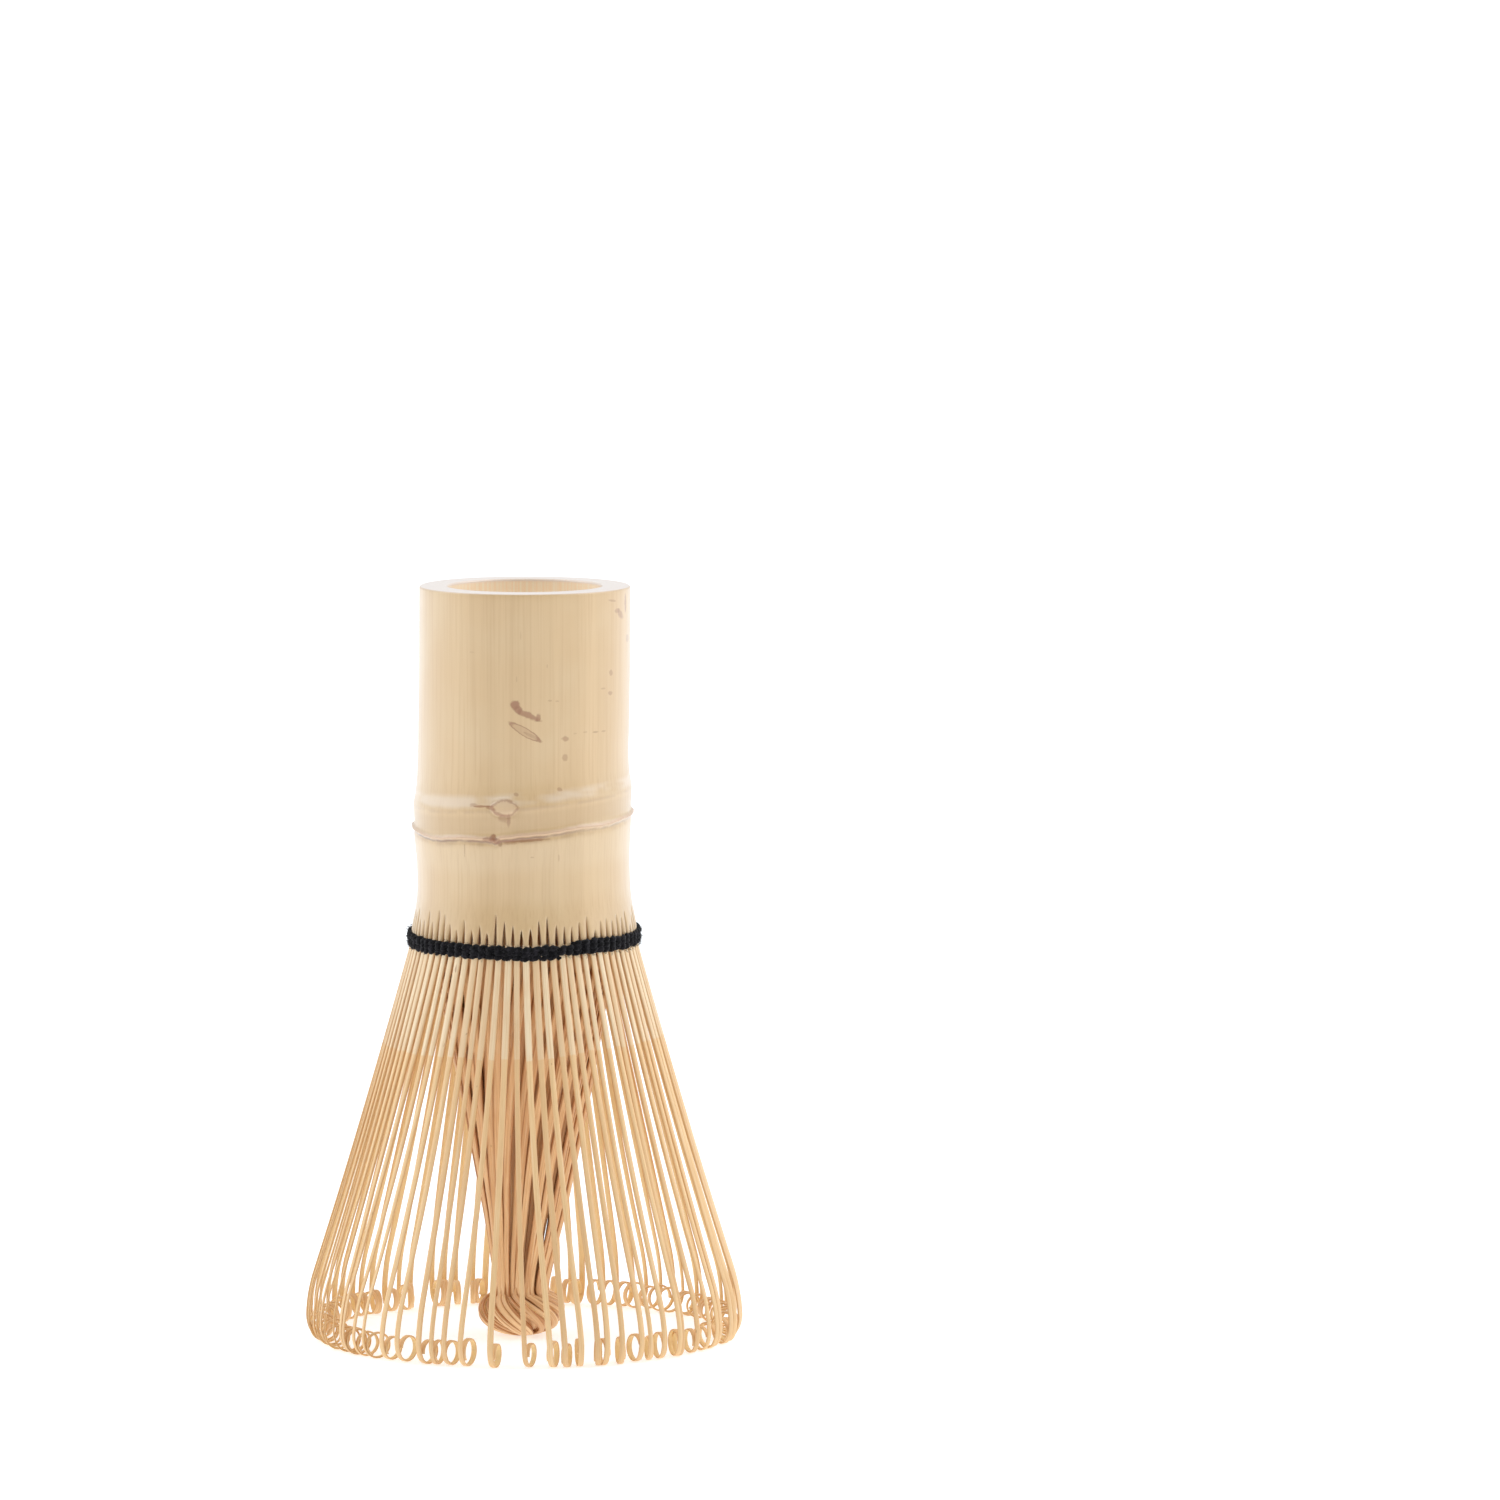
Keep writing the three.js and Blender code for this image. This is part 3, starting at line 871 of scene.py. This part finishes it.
def outer_tine(index, rng):
    """One tine's path, sideways directions, half width, half thickness and height.

    The height is for the material, and stays below the step all round the curl.
    """
    pitch = FULL_TURN / OUTER_TINES
    root = ROOT_ANGLES[index]
    tip = (index + 0.5) * pitch + tip_spread(index) + rng.gauss(0, 0.16) * pitch
    bow = rng.gauss(0, 0.12) * pitch
    roll = -0.3 + rng.uniform(-0.3, 0.3)
    points, bend_end = tine_profile(
        CAGE_RADIUS - TINE_TIP_THICK / 2 - rng.uniform(0.0, 0.5),
        CURL_RADIUS * rng.uniform(0.9, 1.08),
        rng.uniform(335, 430),
        TINE_TIP_THICK / 2 + rng.uniform(0.0, 0.15),
    )
    place = np.arange(len(points))
    down = np.clip((TINE_TOP_Z - points[:, 1]) / TINE_TOP_Z, 0, 1) ** 1.15
    down[bend_end:] = down[bend_end]
    share = down / down[-1]
    angle = root + (tip - root) * share + bow * np.sin(math.pi * share)
    out, left = radial(angle)
    inward = np.where(place > bend_end, points[:, 0] - points[bend_end, 0], 0)
    twist = roll * smooth(place / bend_end)
    turned_out = out * np.cos(twist)[:, None] + left * np.sin(twist)[:, None]
    path = out * (points[:, 0] - inward)[:, None] + inward[:, None] * turned_out
    path[:, 2] = points[:, 1]
    coiled = np.clip((place - bend_end - 6) / 30, 0, None)
    path += 0.22 * rng.choice([-1, 1]) * coiled[:, None] * left
    sideways = left * np.cos(twist)[:, None] - out * np.sin(twist)[:, None]
    full_width = min(max(rng.gauss(0.96, 0.1), 0.68), 1.12)
    rise = STEP_RISE * smooth(math.cos(root) / 0.7)
    above_step = smooth((path[:, 2] - rise - STEP_Z) / 0.8 + 0.5)
    width = full_width * (BELOW_STEP_WIDTH + (1 - BELOW_STEP_WIDTH) * above_step)
    thickness = TINE_TIP_THICK + (TINE_TOP_THICK - TINE_TIP_THICK) * smooth((path[:, 2] - 6) / 45)
    height = np.where(place > bend_end, points[bend_end, 1] - 1, points[:, 1])
    height = height - rise + rng.uniform(-0.2, 0.2)
    return path, sideways, width / 2, thickness / 2, height


def outer_tines():
    """Every outer tine, two to a CAD node, each bending from the thread down."""
    rng = random.Random(21)
    for number, node in enumerate(tine_nodes):
        strands = Strands()
        for half in range(TINES_PER_NODE):
            index = number * TINES_PER_NODE + half
            path, sideways, half_width, half_thick, height = outer_tine(index, rng)
            strands.add(path, sideways, half_width, half_thick, rng.random(), height)
        piece = strands.build(f"outer_tine_pair_{number + 1:02d}", outer_bamboo)
        tidy_mesh(piece)
        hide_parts(node)
        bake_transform(piece)


# ---- Inner tines and knot ----------------------------------------------------

knot_low, knot_high = box_mm("inner_tine_knot")
KNOT_RADIUS = (knot_high.x - knot_low.x) / 2 + 0.3
KNOT_BOTTOM = 0.05
KNOT_TOP = 7.2
KNOT_SHIFT = -0.5
TUFT_TOP_Z = 63.5
TUFT_TOP_RADIUS = 14.5
NECK_RADIUS = 3.8
NECK_ABOVE_KNOT = 1.4
INNER_TWIST = math.radians(-38)
KNOT_TWIST = math.radians(95)
# Where a strand comes onto the knot and where it ends under it, in degrees from the knot's top.
KNOT_FIRST = 36
KNOT_LAST = 168


def rounded_path(points, times):
    """Cuts the corners of a line of points, again and again."""
    for _ in range(times):
        first = 0.75 * points[:-1] + 0.25 * points[1:]
        second = 0.25 * points[:-1] + 0.75 * points[1:]
        between = np.stack([first, second], 1).reshape(-1, points.shape[1])
        points = np.concatenate([points[:1], between, points[-1:]])
    return points


def inner_tine(index, layer, rng):
    """One inner tine: in from the culm to the neck, then out over the knot and round to its underside.

    Layer 0 lies outside and layer 1 behind it.
    """
    pitch = FULL_TURN / INNER_TINES
    start = index * pitch + rng.uniform(-0.3, 0.3) * pitch
    top_r = TUFT_TOP_RADIUS - rng.uniform(0, 0.3)
    neck_r = NECK_RADIUS - 0.9 * layer + rng.uniform(-0.2, 0.15)
    neck_z = KNOT_TOP + NECK_ABOVE_KNOT
    twist = INNER_TWIST + rng.uniform(-0.13, 0.13)
    bow = rng.gauss(0, 0.035)
    sag = rng.uniform(-0.3, 0.35) - 0.8 * layer
    points = []
    for share in np.linspace(0, 1, 11):
        r = top_r + (neck_r - top_r) * share + sag * math.sin(math.pi * share)
        z = TUFT_TOP_Z + (neck_z - TUFT_TOP_Z) * share
        points.append((r, z, start + twist * share + bow * math.sin(math.pi * share)))
    middle_z = (KNOT_BOTTOM + KNOT_TOP) / 2
    half_height = (KNOT_TOP - KNOT_BOTTOM) / 2
    tucked = 0.95 * layer + rng.choice([0, 0.2, 0.45])
    ball_r = KNOT_RADIUS - 0.3 - tucked
    ball_h = half_height - 0.25 - tucked
    swing = KNOT_TWIST + rng.uniform(-0.45, 0.45)
    neck_angle = points[-1][2]
    for share in np.linspace(0, 1, 12):
        polar = math.radians(KNOT_FIRST + (KNOT_LAST - KNOT_FIRST) * share)
        r = ball_r * math.sin(polar) ** 0.9
        z = middle_z + ball_h * math.cos(polar)
        points.append((r, z, neck_angle + swing * share ** 0.9))
    return rounded_path(np.array(points), 2)


def inner_tines():
    """Every inner tine, five to a CAD node, bending between the culm and the knot."""
    rng = random.Random(5)
    for number, node in enumerate(inner_nodes):
        strands = Strands()
        for k in range(INNER_PER_NODE):
            index = number * INNER_PER_NODE + k - INNER_PER_NODE // 2
            layer = index % 2
            r, z, angle = inner_tine(index, layer, rng).T
            out, left = radial(angle)
            path = out * r[:, None]
            path[:, 0] += KNOT_SHIFT * smooth((20 - z) / 14)
            path[:, 2] = z
            on_knot = smooth((9 - z) / 3)
            lean = rng.uniform(-0.4, 0.4) + 0.55 * on_knot[:, None]
            sideways = left + out * lean
            fuller_above = (0.42 + 0.4 * layer) * smooth((z - 14) / 22)
            width = rng.uniform(0.76, 1.04) * (0.92 + fuller_above + 0.12 * on_knot)
            thick = 0.34 + 0.16 * on_knot
            strands.add(path, sideways, width / 2, thick / 2, rng.random(), z)
        piece = strands.build(f"inner_tine_group_{number + 1:02d}", inner_bamboo)
        tidy_mesh(piece)
        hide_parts(node)
        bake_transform(piece)


def knot_core():
    """The wound ends inside the knot, which show only through the gaps between the outermost ones."""
    strands = Strands()
    rng = random.Random(8)
    count = 22
    for i in range(count):
        start = FULL_TURN * i / count
        points = []
        for share in np.linspace(0, 1, 14):
            polar = math.radians(12 + 160 * share)
            r = (KNOT_RADIUS - 1.25) * math.sin(polar)
            z = (KNOT_TOP + KNOT_BOTTOM) / 2 + 2.7 * math.cos(polar)
            points.append((r, z, start + 0.9 * share + rng.uniform(-0.02, 0.02)))
        r, z, angle = rounded_path(np.array(points), 1).T
        out, left = radial(angle)
        path = out * r[:, None]
        path[:, 0] += KNOT_SHIFT
        path[:, 2] = z
        strands.add(path, left, 0.8, 0.25, rng.random(), z)
    piece = strands.build("knot_core", inner_bamboo)
    tidy_mesh(piece)
    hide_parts("inner_tine_knot")
    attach(piece, "tuft")


# ---- Thread ------------------------------------------------------------------

# The thread starts and ends at this place, counted in tines, where its rows cross over.
THREAD_START_TINE = 64.9
THREAD_TURNS = 3
ROW_PITCH = 0.62
STITCH_STEPS = 10
YARN_SIDES = 12
PLY_LENGTH = 1.1
FUZZ_RADIUS = 16.75
FUZZ_FIBRES = 2200
FUZZ_THICK = 0.02


def thread_middle(angle):
    """The height of the thread's middle round the whisk."""
    wave = 0.05 * np.cos(angle) + 0.38 * np.sin(angle)
    return THREAD_Z + 0.4 + wave + 0.06 * np.sin(5 * angle) + 0.05 * np.sin(13 * angle)


def root_angle_at(place):
    """The angle at a place counted in tines. Whole numbers are the middles of the tines."""
    turns = np.floor(place / OUTER_TINES)
    angles = np.append(ROOT_ANGLES, ROOT_ANGLES[0] + FULL_TURN)
    return np.interp(place - turns * OUTER_TINES, np.arange(OUTER_TINES + 1), angles) + turns * FULL_TURN


def tube(path, radius, sides):
    """A closed tube along an open path. radius has a value for each point and side."""
    along = np.gradient(path, axis=0)
    along /= np.linalg.norm(along, axis=1, keepdims=True)
    side = np.cross(along, [0, 0, 1.0])
    side /= np.linalg.norm(side, axis=1, keepdims=True)
    over = np.cross(side, along)
    corner = np.linspace(0, FULL_TURN, sides, endpoint=False)
    ring = side[:, None] * np.cos(corner)[None, :, None] + over[:, None] * np.sin(corner)[None, :, None]
    vertices = (path[:, None] + ring * radius[..., None]).reshape(-1, 3)
    faces = []
    for step in range(len(path) - 1):
        for k in range(sides):
            a, b = step * sides + k, step * sides + (k + 1) % sides
            faces.append((a, b, b + sides, a + sides))
    faces.append(tuple(reversed(range(sides))))
    faces.append(tuple(range(len(vertices) - sides, len(vertices))))
    return vertices, faces


def yarn(name, node, middle_r, dip, thick, seed):
    """One thread wound several times round the tines, proud over each tine and dipping between them."""
    rng = random.Random(seed)
    stitches = THREAD_TURNS * OUTER_TINES
    count = stitches * STITCH_STEPS + 1
    place = THREAD_START_TINE + np.linspace(0, stitches, count)
    angle = root_angle_at(place)
    done = np.linspace(0, THREAD_TURNS, count)

    def uneven(size):
        """A different value at each stitch, with an even change between."""
        values = [rng.uniform(-size, size) for _ in range(2 * stitches + 2)]
        return np.interp(2 * (place - place[0]), np.arange(len(values)), values)

    over = np.cos(FULL_TURN * place)
    left_over = THREAD_TURNS - done
    tucked = smooth(1 - done * OUTER_TINES / 1.5) + smooth(1 - left_over * OUTER_TINES / 1.5)
    r = middle_r + dip * (over - 1) / 2 + uneven(0.05) - 1.3 * tucked
    z = thread_middle(angle) + ROW_PITCH * (THREAD_TURNS / 2 - done)
    z += 0.1 * np.sin(FULL_TURN * place) + uneven(0.11)
    out, _ = radial(angle)
    path = out * r[:, None]
    path[:, 2] = z
    length = np.cumsum(np.linalg.norm(np.gradient(path, axis=0), axis=1))
    corner = np.linspace(0, FULL_TURN, YARN_SIDES, endpoint=False)
    plies = 1 + 0.1 * np.cos(3 * corner[None, :] - (FULL_TURN / PLY_LENGTH) * length[:, None])
    rough = [
        [noise.noise(Vector((side * 2.7, ring * 0.4, seed))) for side in range(YARN_SIDES)]
        for ring in range(count)
    ]
    swell = 1 + 0.08 * over + uneven(0.07)
    radius = thick * (plies * swell[:, None] + 0.28 * np.array(rough))
    vertices, faces = tube(path, radius, YARN_SIDES)
    piece = make_mesh(name, vertices, faces, cotton)
    tidy_mesh(piece)
    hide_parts(node)
    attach(piece, "handle")


def thread_fuzz():
    """Loose fibre ends that stand out of the cotton."""
    rng = random.Random(3)
    strands = Strands()
    triangle = np.array([[-1, -0.6], [1, -0.6], [0, 1]])
    for _ in range(FUZZ_FIBRES):
        angle = rng.uniform(0, FULL_TURN)
        height = float(thread_middle(np.array(angle))) + rng.uniform(-1.1, 1.1)
        start = np.array([math.cos(angle), math.sin(angle), 0]) * FUZZ_RADIUS
        start[2] = height
        aim_x = math.cos(angle + rng.uniform(-1.2, 1.2))
        aim_y = math.sin(angle + rng.uniform(-1.2, 1.2))
        aim = np.array([aim_x, aim_y, rng.uniform(-1, 1)])
        aim /= np.linalg.norm(aim)
        bend = np.array([rng.uniform(-1, 1) for _ in range(3)])
        length = rng.uniform(0.25, 0.7)
        share = np.linspace(0, 1, 5)[:, None]
        path = start + aim * length * share + bend * 0.3 * length * share ** 2
        side = np.cross(aim, [0.31, 0.57, 0.76])
        strands.add(path, np.tile(side, (len(path), 1)), FUZZ_THICK, FUZZ_THICK, section=triangle)
    piece = strands.build("thread_fuzz", cotton)
    tidy_mesh(piece)
    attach(piece, "handle")


# ---- Making it ---------------------------------------------------------------

make_camera()
make_studio()
make_floor()

culm_bamboo = culm_material()
outer_bamboo = tine_material(
    "outer_tine_bamboo",
    above=shade(251, 228, 190),
    below=shade(248, 211, 158),
    side=shade(220, 172, 116),
    dark=shade(224, 180, 128),
    inner_face_with_painted_light=shade(248, 218, 162),
    step_z=STEP_Z + 0.2,
    step_width=0.3,
    edge_shade=0.45,
)
inner_bamboo = tine_material(
    "inner_tine_bamboo",
    above=shade(244, 202, 150),
    below=shade(254, 218, 168),
    side=shade(182, 116, 66),
    dark=shade(200, 140, 88),
    inner_face_with_painted_light=shade(255, 226, 178),
    step_z=5.0,
    step_width=6.0,
    edge_shade=0.6,
)
cotton = cotton_material()

culm()
outer_tines()
inner_tines()
knot_core()
yarn("thread_outer", "thread_outer_turn", middle_r=16.62, dip=0.3, thick=0.4, seed=7)
yarn("thread_inner", "thread_inner_turn", middle_r=15.35, dip=0.1, thick=0.34, seed=11)
thread_fuzz()
